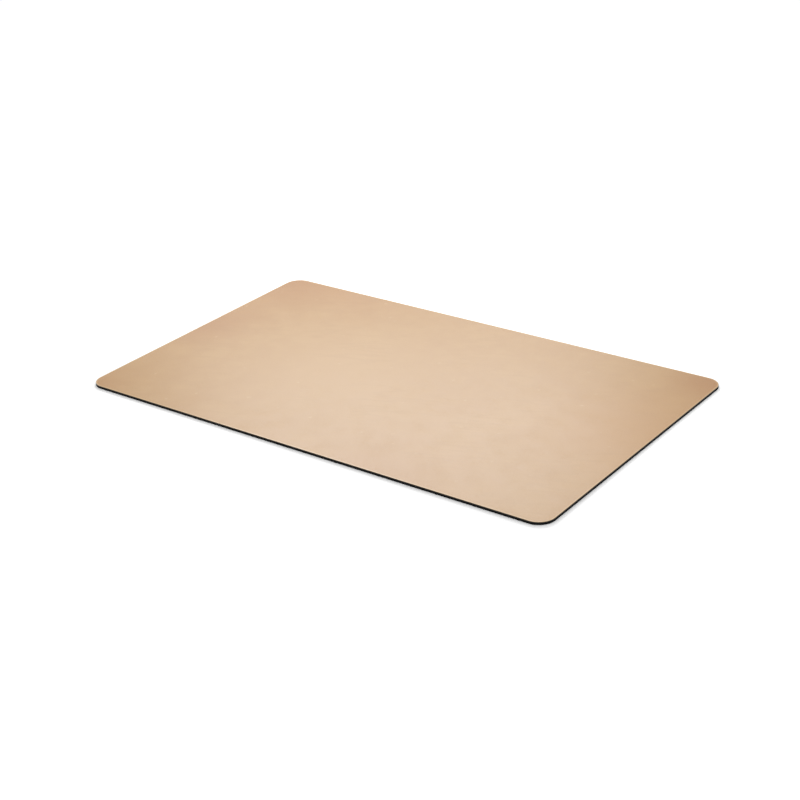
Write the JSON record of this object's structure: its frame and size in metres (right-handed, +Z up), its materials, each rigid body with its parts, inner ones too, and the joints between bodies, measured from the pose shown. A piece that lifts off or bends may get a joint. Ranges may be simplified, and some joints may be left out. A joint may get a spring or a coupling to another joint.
{
  "type": "mouse pad",
  "caption": "Flat desk-size mouse pad with rounded corners: a smooth tan leather face bonded to a black non-slip sponge-rubber base.",
  "frame": {"origin": "middle of the underside, on the desk", "axes": "+X along the long side, +Y across the short side towards the far edge, +Z up out of the leather face"},
  "size_m": [0.66, 0.4, 0.0036],
  "materials": {
    "sponge_rubber": "matte",
    "bonding_film": "satin",
    "tan_leather": "satin"
  },
  "bodies": {
    "root": {"rubber_base": "sponge_rubber", "adhesive_film": "bonding_film", "leather_face": "tan_leather"}
  },
  "joints": []
}
